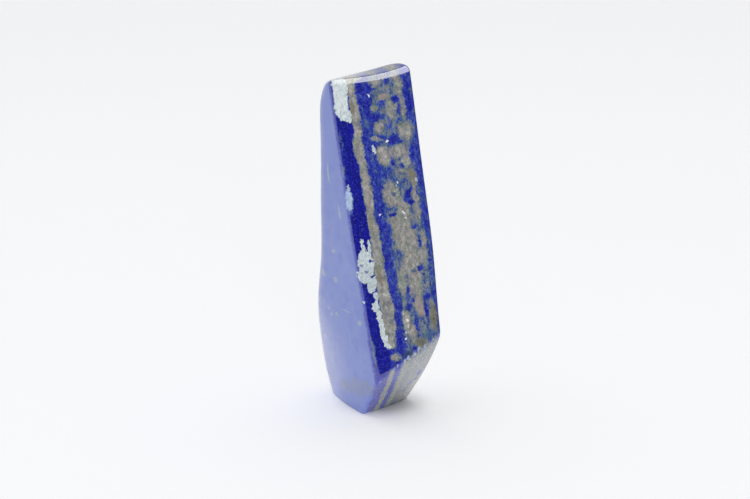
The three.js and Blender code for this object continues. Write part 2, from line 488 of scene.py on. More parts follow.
# %% [markdown]
# ## Light
#
# A polished stone shows two things at once: its own colour, lit from everywhere, and a mirror image of the
# room. Where a face mirrors something white it looks veiled, and where it mirrors something dark its colour
# is deep. Here the broad face mirrors the white sheet, and the banded face mirrors the dark end of the room.
#
# A photographer sets these apart with white cards and black flags that are too small to change the light on
# the table. The world does the same through the Light Path node. What the stone mirrors is a bright room
# with one dark end, and a pale floor from some way below the horizon. What lights the stone and the sheet is
# a soft sky that is brightest overhead, a little to the left and behind.

# %% World
DARK_TURN, DARK_SPREAD = 59, (-0.26, -0.05)
ROOM_BRIGHT, ROOM_DARK, ROOM_SEEN = (0.72, 0.73, 0.76), (0.01, 0.01, 0.012), (0.885, 0.897, 0.91)
ROOM_FLOOR, FLOOR_FROM, FLOOR_FULL = (0.86, 0.87, 0.89), -0.24, -0.36
SKY_TURN, SKY_RISE, SKY_ALL_ROUND, SKY_GLOW = -150, 60, 0.29, 0.86
SKY_TIGHTNESS = 3  # the power that gathers the sky's glow round its middle

world = bpy.data.worlds.new("studio")
world.use_nodes = True
bpy.context.scene.world = world
room = world.node_tree
room.nodes.clear()
room_direction = add(room, "TexCoord").outputs["Generated"]
towards_dark = add(room, "VectorMath", {0: room_direction, 1: look_to(DARK_TURN, 0)}, operation="DOT_PRODUCT")
darkness = add(room, "MapRange", {0: towards_dark.outputs["Value"], 1: DARK_SPREAD[0], 2: DARK_SPREAD[1]})
mirrored = between(room, darkness.outputs[0], (*ROOM_BRIGHT, 1), (*ROOM_DARK, 1), "RGBA")
room_rise = add(room, "SeparateXYZ", {0: room_direction}).outputs[2]
downward = add(room, "MapRange", {0: room_rise, 1: FLOOR_FROM, 2: FLOOR_FULL}).outputs[0]
mirrored = between(room, downward, mirrored, (*ROOM_FLOOR, 1), "RGBA")
sky_middle = look_to(SKY_TURN, SKY_RISE)
towards_sky = add(room, "VectorMath", {0: room_direction, 1: sky_middle}, operation="DOT_PRODUCT")
sky_share = sum_of(room, "MAXIMUM", towards_sky.outputs["Value"], 0)
sky_share = sum_of(room, "POWER", sky_share, SKY_TIGHTNESS)
sky_light = sum_of(room, "MULTIPLY_ADD", sky_share, SKY_GLOW, SKY_ALL_ROUND)
ray = add(room, "LightPath").outputs
room_colour = between(room, ray["Is Glossy Ray"], sky_light, mirrored, "RGBA")
room_colour = between(room, ray["Is Camera Ray"], room_colour, (*ROOM_SEEN, 1), "RGBA")
background = add(room, "Background", {"Color": room_colour, "Strength": 1.0})
add(room, "OutputWorld", {"Surface": background.outputs[0]})
print("world: bright", ROOM_BRIGHT, "dark", ROOM_DARK, "sky", SKY_ALL_ROUND, "to", SKY_ALL_ROUND + SKY_GLOW)

# %% [markdown]
# Three lamps finish the light. One softbox hangs overhead and gives the shadow a soft core. A card up to the
# right is there only to be mirrored: the rounded edge between the top and the banded face looks halfway
# between it and the camera, and that draws the creamy line along the top edge. A fill behind the camera
# lights the upright faces and hardly touches the table. It is cross-polarised, so it is not mirrored.

# %% Softboxes
SOFTBOXES = [
    dict(name="overhead", place=(-260, -120, 900), size=360, radiance=1.0, colour=(1, 1, 0.98),
         lights=True),
    dict(name="edge_card", place=(433, -250, 956), size=1700, radiance=4.5,
         colour=(1, 0.98, 0.94), lights=False),
    dict(name="fill", place=(120, -1500, 240), size=600, radiance=4.9, colour=(1, 1, 1),
         lights=True, mirrored=False),
]
AIM_HEIGHT = 55


def softbox(name, place, size, radiance, colour, lights, mirrored=True):
    """A square area light that faces the stone's middle. Power is pi times its area times its radiance.
    Lights says whether it lights matt surfaces, and mirrored whether it shows in polished ones."""
    light = bpy.data.lights.new(name, "AREA")
    light.shape = "SQUARE"
    light.size = size * MM
    light.energy = math.pi * (size * MM) ** 2 * radiance
    light.color = colour
    lamp = bpy.data.objects.new(name, light)
    lamp.location = [part * MM for part in place]
    aim = lamp.location.copy()
    aim.z -= AIM_HEIGHT * MM
    lamp.rotation_euler = aim.to_track_quat("Z", "Y").to_euler()
    lamp.visible_camera = False
    lamp.visible_diffuse, lamp.visible_glossy = lights, mirrored
    bpy.context.scene.collection.objects.link(lamp)
    return light.energy


for box in SOFTBOXES:
    print(box["name"], "softbox:", round(softbox(**box), 2), "W")

# %% [markdown]
# ## The rock's own axes in the material
#
# The pattern runs right through the stone, so it is a solid pattern: colour as a function of a place in
# space, and not something wrapped round the outside. It is built in the rock axes, in millimetres. A
# Mapping node does the whole change of axes: it turns, scales from metres and shifts.

# %% Rock axes as a Mapping node
from mathutils import Matrix

rock = bpy.data.materials.new("polished_lapis_lazuli")
rock.use_nodes = True
paint = rock.node_tree
ROCK_AXES = np.array([ROCK_DEPTH, ROCK_INWARD, ROCK_ALONG])
rock_turn = Matrix(ROCK_AXES.tolist()).to_euler("XYZ")
object_place = add(paint, "TexCoord").outputs["Object"]
rock_place = add(paint, "Mapping", {
    "Vector": object_place, "Scale": (1 / MM,) * 3, "Rotation": rock_turn,
    "Location": ROCK_AXES @ (MESH_SHIFT - ROCK_START)}).outputs[0]
print("rock axes turned by", [round(math.degrees(angle), 1) for angle in rock_turn], "degrees")

# %% [markdown]
# ## Lumps
#
# The rock is lazurite that grew through bands of marble, so its colours sit in lumps and tongues, not in a
# regular pattern. Noise alone gives lumps of the right size but never these ones. A lump is therefore a
# small node group of its own: a mask that is one inside an ellipsoid and fades at its skin. A Mapping node
# of the Texture kind brings the ellipsoid to a unit ball, and the mask is the gain times one minus the
# squared distance from its middle.

# %% A lump as a node group
def new_group(name, inputs, outputs):
    """A shader node group with named inputs and outputs."""
    group = bpy.data.node_groups.new(name, "ShaderNodeTree")
    for direction, sockets in (("INPUT", inputs), ("OUTPUT", outputs)):
        for socket, kind in sockets:
            group.interface.new_socket(socket, in_out=direction, socket_type="NodeSocket" + kind)
    return group, group.nodes.new("NodeGroupInput"), group.nodes.new("NodeGroupOutput")


LUMP_INPUTS = [("Place", "Vector"), ("Middle", "Vector"), ("Radii", "Vector"), ("Lean", "Vector"),
               ("Gain", "Float"), ("Strength", "Float")]
LUMPS_AT_ONCE = 14
NEXT_TO_NOTHING = 1e-6
NEAR_BLUE_FACE, SHALLOW_REACH, LEAST_REACH, REACH_PER_SIZE = 3.2, 1.4, 5, 1.2
BLUE_MARK_DEPTH, BLUE_MARK_REACH = 1, 5

lump_group, lump_in, lump_out = new_group("lump", LUMP_INPUTS, [("Mask", "Float")])
ball = add(lump_group, "Mapping", {
    "Vector": lump_in.outputs["Place"], "Location": lump_in.outputs["Middle"],
    "Rotation": lump_in.outputs["Lean"], "Scale": lump_in.outputs["Radii"]}, vector_type="TEXTURE").outputs[0]
squared = add(lump_group, "VectorMath", {0: ball, 1: ball}, operation="DOT_PRODUCT").outputs["Value"]
room_left = sum_of(lump_group, "SUBTRACT", 1, squared)
lump_mask = sum_of(lump_group, "MULTIPLY", room_left, lump_in.outputs["Gain"], clamp=True)
lump_mask = sum_of(lump_group, "MULTIPLY", lump_mask, lump_in.outputs["Strength"])
lump_group.links.new(lump_mask, lump_out.inputs["Mask"])


def lump(place, middle, radii, gain, lean=(0, 0, 0), strength=1.0):
    """The mask of one lump. Lean holds degrees about the depth, inward and along axes."""
    return add(paint, "Group", {
        "Place": place, "Middle": middle, "Radii": radii, "Lean": [math.radians(angle) for angle in lean],
        "Gain": gain, "Strength": strength}, node_tree=lump_group).outputs["Mask"]


def wait_for(place, field):
    """The same places, to a millionth of a millimetre, but ready only once the field is: the shader
    compiler keeps at most 255 numbers at once, and it starts on everything that is ready."""
    return vector_of(paint, "MULTIPLY_ADD", field, (NEXT_TO_NOTHING,) * 3, place)


def on_banded_face(depth, along, half_depth, half_along, value, lean=0):
    """A lump whose middle lies on the banded face. It runs some way into the rock, but only a little way
    where it lies near the blue face, or it would come out there as well."""
    reach_in = LEAST_REACH + REACH_PER_SIZE * max(half_depth, half_along)
    if depth < NEAR_BLUE_FACE:
        reach_in = SHALLOW_REACH
    return (depth, FRONT_SKIN, along), (half_depth, reach_in, half_along), (0, lean, 0), value


def on_blue_face(inward, along, half_inward, half_along, value, lean=0):
    """A lump on the blue face, which the layers run along."""
    middle = (BLUE_MARK_DEPTH, inward, along)
    return middle, (BLUE_MARK_REACH, half_inward, half_along), (lean, 0, 0), value


def paint_lumps(place, field, lumps, gain, strength=1.0):
    """Brings a field to each lump's own value inside it, one lump after the other. A value is a number, or
    a colour if the field is one."""
    for count, (middle, radii, lean, value) in enumerate(lumps):
        if count % LUMPS_AT_ONCE == 0:
            place = wait_for(place, field)
        mask = lump(place, middle, radii, gain, lean, strength)
        if isinstance(value, tuple):
            field = between(paint, mask, field, (*value, 1), "RGBA")
        else:
            field = between(paint, mask, field, value)
    return field


print("lump group:", len(lump_group.nodes), "nodes")

# %% [markdown]
# The marks that show on the banded face, in rock axes: depth below the blue face, place along the layers,
# half width, half height, kind, and lean if it has one. A kind of -1 is pure lazurite, 0 is the mixture that
# looks grey or teal, and 1 is clean tan marble. The few on the heel and on the top have a middle and radii.

# %% Marks on the banded face
MARBLE_LUMPS = [on_banded_face(*mark) for mark in (
    (17, 103.3, 1.5, 1.7, 0.7), (24.3, 102, 1.5, 3.7, 0.6), (18.7, 98.6, 2, 1.4, 0.7),
    (21, 101, 1, 1.9, 0.3), (21, 94.5, 1.6, 4, 0.6), (25.2, 95, 1, 4.8, 0.5),
    (15.6, 95.8, 1.3, 1.1, 0.6), (16.2, 90, 1.8, 1.5, 0.7), (25, 87.5, 3.4, 3.6, 0.7),
    (14.5, 86.7, 1.8, 1.1, 0.6), (16.5, 81, 2.6, 3.4, 0.8, -12), (21.5, 81.5, 3.2, 2.5, 0.7),
    (23.5, 78, 2.1, 2.2, 0.7), (25, 73, 1.6, 3.3, 0.5), (22.5, 75, 2.2, 0.9, 0.5, 25),
    (17, 69, 3.4, 4.4, 0.7), (20.5, 64, 2.8, 4.6, 0.75), (18, 60, 3.2, 3, 0.7),
    (20.5, 54, 3.8, 5.6, 0.75), (19, 57, 3.8, 7.5, 0.8), (20.5, 47, 3.5, 5, 0.8),
    (25, 67, 1, 4.6, 0.6), (25, 62, 1.4, 2.6, 0.5),
    (25.5, 53, 1.2, 4.6, 0.5), (23, 48.5, 4.6, 2.7, 0.75), (16.5, 42, 1.7, 5.6, 0.6),
    (21, 41, 2.8, 5.6, 0.75), (21, 33, 1.6, 4.2, 0.8), (16, 30, 1.6, 5.6, 0.9),
    (17.5, 25, 1.4, 4, 0.7), (25, 28.5, 1.8, 5.2, 0.45), (19.5, 21.5, 2.3, 1.9, 0.35),
    (10.5, 18.7, 2.4, 1.5, 0.6), (7.6, 85.5, 0.9, 4, 0.6), (10, 105.6, 3.4, 1.6, 1),
    (8.2, 96.5, 0.9, 3.5, 0.5),
)]
LAZURITE_LUMPS = [on_banded_face(*mark) for mark in (
    (12, 102, 1.5, 2.1, -0.8), (14.5, 102, 1.9, 1.7, -0.7), (12.8, 98, 1.9, 2.3, -0.8),
    (15.8, 93, 3.1, 1.7, -0.7), (17.5, 96.8, 1.7, 0.8, -0.4), (18.7, 100.5, 1, 0.8, -0.1),
    (21.3, 103.5, 1.3, 1.4, -0.5), (22.8, 97.5, 1.5, 1.3, -0.7), (23.5, 93, 0.8, 3.1, -0.5),
    (27, 98, 1.2, 8.5, -0.8), (12.3, 90, 1.7, 3.1, -0.5), (19.2, 89.5, 1.6, 1.4, -0.5),
    (17, 87, 2.3, 0.8, -0.5, 32), (15.5, 84.8, 2.1, 1, -0.5), (21, 85, 3.1, 2.1, -0.6),
    (12, 80, 1.2, 4.6, -0.3), (25.9, 79.5, 1, 3.6, -0.7), (15.5, 76, 4.6, 2.6, -0.45),
    (19.2, 78.3, 1, 1, -0.6), (22, 77, 0.9, 0.9, -0.6), (22, 72.5, 1, 0.9, -0.4),
    (12.3, 70, 1.3, 6.2, -0.5), (17.7, 68.7, 1.1, 0.9, -0.1), (22.5, 68, 1.2, 3.2, -0.7, 38),
    (22.8, 65.3, 1.5, 1.3, -0.8), (26.8, 68, 1.1, 7.2, -0.25), (14.5, 64.7, 0.7, 0.7, -0.5),
    (16.5, 62.7, 1.3, 0.9, -0.8), (13, 57, 2.1, 6.2, -0.5), (23, 57.7, 1.6, 0.9, -0.5),
    (24, 52.5, 0.6, 2.1, -0.6), (27.2, 47, 0.9, 13, -0.2), (13, 45, 1.4, 5.2, -0.5),
    (16, 46, 0.4, 0.6, -0.3), (22.8, 44.5, 1.1, 1, -0.6), (21, 44.2, 1.7, 0.8, 0),
    (24, 42.3, 0.8, 0.6, -0.5), (17.9, 38, 0.5, 3.1, -0.4), (13.8, 34, 1.5, 7.2, -0.5),
    (17, 33.3, 1.7, 1.7, -0.5), (18.8, 35, 0.7, 0.9, -0.5), (24, 35.5, 1.1, 1.4, -0.6),
    (23, 31, 0.8, 5.2, -0.5), (19.3, 27.5, 1, 3.1, -0.5), (22.5, 23.5, 2.7, 1.6, -0.25),
    (26.5, 36, 0.7, 5.2, -0.3), (12.7, 23, 1.6, 3.5, -0.8), (9.2, 21, 2.1, 1, -0.7),
    (6, 18, 3.4, 5.2, -1), (17.5, 19.7, 1.4, 1.1, -0.5), (15, 18.8, 2.1, 1.1, -0.2),
    (3.6, 22.5, 0.5, 5, 0),
)]
HEEL_LUMPS = [(middle, radii, (0, 0, 0), mix) for middle, radii, mix in (
    ((21.4, -14, 10), (0.9, 1.8, 2.2), -0.9), ((20.6, -11.8, 7.6), (0.9, 1.4, 1.6), -0.9),
    ((18.6, -11.6, 6.2), (1.6, 1.2, 0.8), -0.9), ((17.4, -9.4, 3.9), (0.8, 1.5, 1.8), -0.8),
)]
TOP_LUMPS = [(middle, radii, (0, 0, 0), mix) for middle, radii, mix in (
    ((10, -20, 106.3), (2.4, 5, 2.2), 0.75), ((14.6, -19.5, 106.7), (1.9, 5, 2), -0.8),
    ((17.3, -20, 106.6), (1.1, 4, 2), 0.55), ((20.6, -19.5, 107), (2, 5, 2.2), -0.35),
    ((24.2, -20, 107.3), (1.7, 4, 2.2), 0.6), ((26.8, -21, 107.3), (1, 3.5, 2.2), -0.2),
    ((28.4, -21.7, 107), (1.3, 3.5, 2.6), -0.8),
)]
print(len(MARBLE_LUMPS), "marble and", len(LAZURITE_LUMPS), "lazurite lumps,",
      len(HEEL_LUMPS) + len(TOP_LUMPS), "on the heel and the top")

# %% [markdown]
# Calcite is the white of the rock. Most of it fills a seam between the blue and the tan. It has a field of
# its own, because it lies over the mixture and is duller. The last number of a mark is how white it is: 1
# paints calcite and 0 takes it away again. A sparkle is a painted highlight, a near-white speck where one
# clean
# crystal catches the light: depth, along and size.

# %% Calcite marks
CALCITE_LUMPS = [on_banded_face(*mark) for mark in (
    (5.7, 104, 2.6, 5, 1), (5.15, 99, 2.4, 5.6, 1), (5.6, 95.6, 2.1, 1.9, 0.95),
    (7.1, 94.6, 1, 2, 0.9), (2.9, 69.3, 1.15, 3.7, 0.85), (3.6, 73.2, 0.35, 1.4, 0.7),
    (5.5, 49.5, 2.9, 5, 0.85), (5, 46, 2.9, 2.6, 0.8, 20), (6.4, 42.6, 1.8, 3, 0.8, 20),
    (5.2, 55, 0.6, 2.8, 0.9), (7.3, 54, 0.6, 2.9, 0.85), (7.2, 50, 0.9, 0.45, 0.1),
    (7.3, 45.2, 0.9, 0.4, 0.1), (6.3, 54.2, 0.4, 1.1, 0), (4, 49.3, 0.6, 0.5, 0.5),
    (5.5, 47, 0.6, 0.4, 0.5), (7.3, 38.8, 0.8, 1.5, 0.8), (6.5, 36, 1.2, 1.9, 0.85, 10),
    (7.1, 33, 0.95, 2.2, 0.9), (7.3, 30.2, 1.05, 2.1, 0.9), (7.45, 27.3, 0.95, 2.1, 0.9),
    (7.9, 24.7, 1.15, 1.7, 0.9, 15), (8.5, 22.8, 1.25, 0.9, 0.9, 15), (3, 38, 0.5, 0.5, 0.9),
    (13.7, 83.2, 0.5, 1.9, 0.75, -20), (26, 72, 0.5, 0.8, 0.6),
)]
SPARKLES = [
    (12.5, 63.5, 0.5), (20.3, 62.6, 0.5), (20.8, 61, 0.35), (18.5, 85, 0.6), (14.5, 100, 0.45),
    (16.2, 29.5, 0.3), (14.8, 24, 0.25), (19.6, 72.3, 0.35), (19, 71.9, 0.3), (15.4, 31.4, 0.25),
    (15.9, 27.2, 0.22), (15.2, 25.6, 0.22),
]
print(len(CALCITE_LUMPS), "calcite marks and", len(SPARKLES), "sparkles")

# %% [markdown]
# A few places have a colour of their own, because iron has stained the marble or a thin skin of diopside
# lies over the blue. These tints are laid over the finished colour, and each is a lump with a colour for a
# value. The chips show fresh white rock, and their white also paints the thin bright line of light along
# the edge above the heel, a painted highlight. The pits are painted nearly black. Ash is a dusting of grey
# grains low on the blue face. It has a field of its own, which the fine noise breaks up.

# %% Tints
PINK, BROWN, OLIVE = (0.40, 0.33, 0.31), (0.25, 0.22, 0.15), (0.17, 0.17, 0.09)
TEAL, SMOKE, MIST = (0.10, 0.19, 0.28), (0.045, 0.075, 0.11), (0.24, 0.33, 0.37)
FLECK, ASH, PIT_DARK = (0.34, 0.42, 0.46), (0.15, 0.17, 0.20), (0.035, 0.03, 0.025)
CHIP_WHITE_AND_PAINTED_HIGHLIGHT, ICE = (0.62, 0.69, 0.80), (0.36, 0.54, 0.86)
CHIP_REACH, CHIP_SHARE, PIT_REACH = 1.0, 0.9, 1.2
TINTS = [on_banded_face(*mark) for mark in (
    (18.7, 98.6, 2, 1.4, PINK), (21, 33, 1.8, 4.2, PINK), (25, 73, 1.8, 3.3, BROWN),
    (25.3, 28.5, 1.8, 5, OLIVE), (19.5, 21.5, 2.3, 1.9, OLIVE), (12.5, 91.5, 1.1, 1.6, TEAL),
    (22.5, 23.5, 2.7, 1.6, TEAL), (15, 18.8, 2.1, 1.1, SMOKE), (3.1, 98, 0.4, 4, SMOKE, 2),
    (2.7, 78, 0.5, 4.5, MIST), (9.2, 45, 1, 4, BROWN), (9, 61, 0.9, 5, BROWN),
    (3.4, 88, 0.35, 4, TEAL), (3.6, 22, 0.5, 5.5, TEAL), (8.6, 97, 1, 2.8, BROWN),
)] + [on_blue_face(*mark) for mark in (
    (-10.5, 53.2, 1.7, 0.8, FLECK), (-8.3, 43.7, 1.6, 1.3, FLECK), (-1.5, 45.5, 1.8, 1.5, FLECK),
    (6.5, 24, 1.5, 1, FLECK), (-19, 31, 1.4, 1, FLECK), (-6, 32.5, 1.1, 0.9, FLECK),
    (-2, 32, 1.1, 0.8, FLECK), (-1, 34.2, 0.9, 0.8, FLECK), (-12, 34.2, 3.2, 0.3, FLECK, 14),
    (-18, 66, 0.8, 3, FLECK), (-14.5, 78, 0.8, 3.2, FLECK),
)]
ASH_LUMPS = [on_blue_face(*mark) for mark in (
    (-17, 9.5, 6, 3.4, 1), (-10, 9, 7, 3.6, 1), (-2, 8.2, 6, 3, 1),
)]
# Partly painted highlight: the chips are white rock, and their white also stands in for the bright line along
# the edge.
DENT_TINTS = [((depth, inward, along), (across, CHIP_REACH, length * CHIP_SHARE), (0, 0, 0), CHIP_WHITE_AND_PAINTED_HIGHLIGHT)
              for depth, inward, along, across, length, _ in CHIPS]
DENT_TINTS += [((2.9, FRONT_SKIN, 69.3), (1.5, 2.0, 4.6), (0, 0, 0), ICE)]  # a cold rim round a white mark
# The pits are painted nearly black, most at their middle.
DENT_TINTS += [((depth, inward, along), (across, PIT_REACH, length), (0, 0, 0), PIT_DARK)
               for depth, inward, along, across, length, _ in PITS]
print(len(TINTS), "tints and", len(DENT_TINTS), "dents coloured")

# %% [markdown]
# ## The mixture
#
# The field called kind starts from the layers themselves, then takes the lumps, and then gets noise. Places
# are bent a little by a coarse and a fine noise before any lump is measured, which frays every outline the
# same way that grains of rock do.

# %% Bend the places
BENDS = [(4.0, 1.6), (0.9, 1.7)]  # how wide the noise's features are, and how far it moves a place
DETAIL = 2.0  # how many finer layers a noise has


def bent(place, size, amount):
    """Places moved by noise: its colour less one half, times an amount in millimetres."""
    noise = add(paint, "TexNoise", {"Vector": place, "Scale": 1 / size, "Detail": DETAIL})
    shift = vector_of(paint, "SUBTRACT", noise.outputs["Color"], (0.5, 0.5, 0.5))
    return vector_of(paint, "MULTIPLY_ADD", shift, (amount,) * 3, place)


bent_place = rock_place
for size, amount in BENDS:
    bent_place = bent(bent_place, size, amount)
split = add(paint, "SeparateXYZ", {0: bent_place})
depth_in, inward_in, along_in = split.outputs
print("places bent by", len(BENDS), "noises")

# %% [markdown]
# The layers come from one ramp over the depth: a seam of pure lazurite under the blue face, then the mixture,
# then paler and darker bands. The tan vein is laid over them. Its near edge is straight, but its far edge
# wanders, so that one is read from a curve. A Wave texture draws bands too, but they would all be alike.

# %% The layers
VEIN_EDGE = [(0, 10.6), (22, 10.8), (26, 11.8), (31, 12.3), (36, 12.2), (42, 11.5), (48, 11.3), (58, 11.3),
             (64, 10.7), (70, 11.0), (74, 10.6), (80, 10.3), (86, 10.4), (92, 10.8), (98, 10.4), (112, 10.4)]
VEIN_TOP, VEIN_DEEPEST, VEIN_START = 112, 16, 7.9
VEIN_NEAR_SOFT, VEIN_FAR_SOFT, VEIN_FOOT, VEIN_FOOT_SOFT = 0.8, 1.1, 21.5, 1.5
VEIN_NOISE, VEIN_GAIN, VEIN_BASE = 0.3, 1.6, -0.1
INSIDE_FROM, INSIDE_FULL = 4, 12  # how far behind the banded face the unmarked inside begins
LAYERS_END = 40


def times(first, second, plus=None, clamp=False):
    """The product of two numbers in the rock's material, with a third added if there is one."""
    if plus is None:
        return sum_of(paint, "MULTIPLY", first, second, clamp=clamp)
    return sum_of(paint, "MULTIPLY_ADD", first, second, plus, clamp=clamp)


def edge_curve(along, points):
    """A number read from a curve along the layers."""
    share = sum_of(paint, "DIVIDE", along, VEIN_TOP)
    node = add(paint, "FloatCurve", {"Value": share})
    curve = node.mapping.curves[0]
    while len(curve.points) < len(points):
        curve.points.new(0.5, 0.5)
    for point, (place, value) in zip(curve.points, sorted(points)):
        point.location = (place / VEIN_TOP, value / VEIN_DEEPEST)
    node.mapping.update()
    return times(node.outputs[0], VEIN_DEEPEST)


def step_up(value, start, width):
    """0 below the start and 1 above it, over a width."""
    sockets = {0: value, 1: start - width / 2, 2: start + width / 2}
    return add(paint, "MapRange", sockets, interpolation_type="SMOOTHSTEP").outputs[0]


def kind_by_depth(depth, stops):
    """The kind from a list of depths and kinds. A ramp holds only 0 to 1, so each kind is halved and raised
    by a half on the way in, and that is undone on the way out."""
    shades = [(at / LAYERS_END, (mix / 2 + 0.5,) * 3) for at, mix in stops]
    shade = ramp(paint, sum_of(paint, "DIVIDE", depth, LAYERS_END), shades)
    return times(shade, 2, -1)


layer_stops = [(0.0, -0.95), (2.6, -1.0), (7.6, -1.0), (8.3, -0.5), (12.0, -0.5), (14.2, -0.4),
               (15.6, 0.05), (25.2, 0.05), (26.6, -0.35), (30.0, -0.45), (33.0, 0.0), (40.0, -0.2)]
kind = kind_by_depth(depth_in, layer_stops)
vein_edge = edge_curve(along_in, VEIN_EDGE)
vein_left = sum_of(paint, "SUBTRACT", vein_edge, depth_in)
vein = times(step_up(depth_in, VEIN_START, VEIN_NEAR_SOFT), step_up(vein_left, 0, VEIN_FAR_SOFT))
from_front = add(paint, "MapRange", {
    0: inward_in, 1: FRONT_SKIN + INSIDE_FROM, 2: FRONT_SKIN + INSIDE_FULL}).outputs[0]
vein_foot = sum_of(paint, "MAXIMUM", step_up(along_in, VEIN_FOOT, VEIN_FOOT_SOFT), from_front)
vein = times(vein, vein_foot)
vein_tones = add(paint, "TexNoise", {"Vector": rock_place, "Scale": VEIN_NOISE, "Detail": DETAIL}).outputs[0]
kind = between(paint, vein, kind, times(vein_tones, VEIN_GAIN, VEIN_BASE))
print(len(layer_stops), "layer stops and one vein")

# %% [markdown]
# Under the overhang the heel cuts across the layers lower down, where the vein is thin and pale marble lies
# beyond it. So the heel has layers of its own, below the line where it meets the banded face. They end
# before the back, which has the stone's ordinary layers.

# %% Layers of the heel
HEEL_LINE, HEEL_SLOPE, HEEL_START, HEEL_SOFT = 12.6, 0.32, 0.4, 1.2
HEEL_SLANT, HEEL_PIVOT, HEEL_BACK, HEEL_BACK_SOFT = 0.12, 19, -5, 9
heel_stops = [(0.0, -0.45), (2.6, -0.6), (6.9, -0.65), (7.5, 0.5), (9.0, 0.6), (9.6, -0.5), (10.2, -0.8),
              (11.1, -0.75), (12.2, 0.3), (13.4, 0.7), (14.4, 0.35), (15.5, 0.15), (17.5, 0.4), (20.0, 0.15),
              (22.5, 0.4), (27.0, 0.1), (33.0, 0.0), (40.0, -0.2)]
slanted = times(inward_in, HEEL_SLANT, depth_in)
slanted = sum_of(paint, "ADD", slanted, HEEL_PIVOT * HEEL_SLANT)
heel_kind = kind_by_depth(slanted, heel_stops)
heel_line = times(depth_in, HEEL_SLOPE, HEEL_LINE)
below_line = step_up(sum_of(paint, "SUBTRACT", heel_line, along_in), HEEL_START, HEEL_SOFT)
under_heel = step_up(sum_of(paint, "SUBTRACT", HEEL_BACK, inward_in), 0, HEEL_BACK_SOFT)
below_line = times(below_line, under_heel)
print(len(heel_stops), "layer stops on the heel")

# %% [markdown]
# The lists are laid into the field, marble first and lazurite over it, because small blue marks lie within
# the tan ones. The gain says how sharp a lump's skin is: low for marks that melt into the rock, and high for
# calcite, which ends abruptly.

# %% Lay the lumps in
MARBLE_GAIN, LAZURITE_GAIN, END_GAIN, CALCITE_GAIN = 1.3, 1.05, 1.8, 3.5


def empty_field():
    """A field that is 0 everywhere."""
    zero = add(paint, "Value").outputs[0]
    zero.default_value = 0
    return zero


kind = paint_lumps(bent_place, kind, MARBLE_LUMPS, MARBLE_GAIN)
kind = paint_lumps(bent_place, kind, LAZURITE_LUMPS, LAZURITE_GAIN)
kind = between(paint, below_line, kind, heel_kind)
kind = paint_lumps(bent_place, kind, HEEL_LUMPS + TOP_LUMPS, END_GAIN)
white = paint_lumps(bent_place, empty_field(), CALCITE_LUMPS, CALCITE_GAIN)
print("node count so far:", len(paint.nodes))

# %% [markdown]
# Noise comes in three sizes. Clouds a few millimetres wide decide where marble shows away from the banded
# face. Patches about a millimetre wide break the colour up. Grains a third of a millimetre wide are the
# crystals themselves, each one cell of a Voronoi texture with its own shade. All three are weaker in the pure
# blue and on the heel, where the rock is more even.

# %% Noise in three sizes
CLOUDS, PATCHES, SPECKS = (7.0, 4.0), (1.4, 3.0, 0.62), (0.5, DETAIL, 0.6)  # size, detail, roughness
STRETCH = (1, 1, 0.6)  # draws the noise out along the layers
CLOUD_HEIGHT, GRAIN_HEIGHT, GRAINS_PER_MM = 0.55, 0.24, 2.4
PATCH_HEIGHTS, SPECK_HEIGHTS = (0.16, 0.50), (0.14, 0.30)  # in the pure blue, and in the mixture
MIXTURE_FROM, MIXTURE_SOFT, HEEL_REST, HEEL_CALM = 9.0, 3.0, 0.9, 0.6


def centred_noise(place, size, detail, roughness=0.55):
    """Noise from about -1 to 1, with features of a size in millimetres."""
    sockets = {"Vector": place, "Scale": 1 / size, "Detail": detail, "Roughness": roughness}
    return times(add(paint, "TexNoise", sockets).outputs[0], 4, -2)


def less_on_heel(share):
    """1 everywhere, but less by a share on the heel."""
    return times(below_line, -share, 1)


clouds = times(centred_noise(rock_place, *CLOUDS), from_front)
kind = times(clouds, CLOUD_HEIGHT, kind)
streaked = vector_of(paint, "MULTIPLY", rock_place, STRETCH)
patches = centred_noise(streaked, *PATCHES)
specks = centred_noise(streaked, *SPECKS)
restless = step_up(depth_in, MIXTURE_FROM, MIXTURE_SOFT)
restless = times(restless, less_on_heel(HEEL_REST))
calm = less_on_heel(HEEL_CALM)
patch_height = times(between(paint, restless, *PATCH_HEIGHTS), calm)
speck_height = times(between(paint, restless, *SPECK_HEIGHTS), calm)
kind = times(patches, patch_height, kind)
kind = times(specks, speck_height, kind)
grains = add(paint, "TexVoronoi", {"Vector": rock_place, "Scale": GRAINS_PER_MM})
grain_shade = add(paint, "SeparateColor", {0: grains.outputs["Color"]})
grain_kind = times(grain_shade.outputs[0], GRAIN_HEIGHT, -GRAIN_HEIGHT / 2)
kind = times(grain_kind, calm, kind)
print("noise sizes in mm:", CLOUDS[0], PATCHES[0], SPECKS[0])

# %% [markdown]
# The kind becomes a colour through one ramp, from deep royal blue through teal and grey to tan. Iron stains
# turn it a little to green or pink, and noise makes some grains lighter or darker at random. Sparse pale blue
# specks are painted glints, painted highlights where crystals that lie at all angles catch the light.
# Mixing a blue with a tan would be simpler, but it would miss the teal between them.

# %% Colours of the mixture
KIND_SPAN = 2.6
KIND_RAMP = [
    (-1.3, (0.007, 0.008, 0.24)), (-0.9, (0.012, 0.015, 0.38)), (-0.5, (0.032, 0.046, 0.46)),
    (-0.17, (0.06, 0.11, 0.40)), (0.0, (0.12, 0.185, 0.35)), (0.17, (0.20, 0.24, 0.30)),
    (0.45, (0.285, 0.29, 0.29)), (0.8, (0.375, 0.37, 0.355)), (1.2, (0.49, 0.48, 0.455)),
]
STAINS = [(0.3, (0.88, 0.98, 0.86)), (0.5, (1.0, 1.0, 0.98)), (0.7, (1.10, 1.0, 1.0))]
STAIN_SCALE, GLINT_BLUE = 0.34, (0.26, 0.31, 0.52)
LIGHT_NOISE, LIGHT_HEIGHT, GRAIN_LIGHT, GRAIN_DARK = (0.75, DETAIL, 0.6), 0.34, 0.28, 0.86
GLINT_NOISE, GLINT_START, GLINT_SOFT, GLINT_SHARE, GLINT_LOST = (0.38, 1.0, 0.5), 0.62, 0.7, 0.24, 0.8

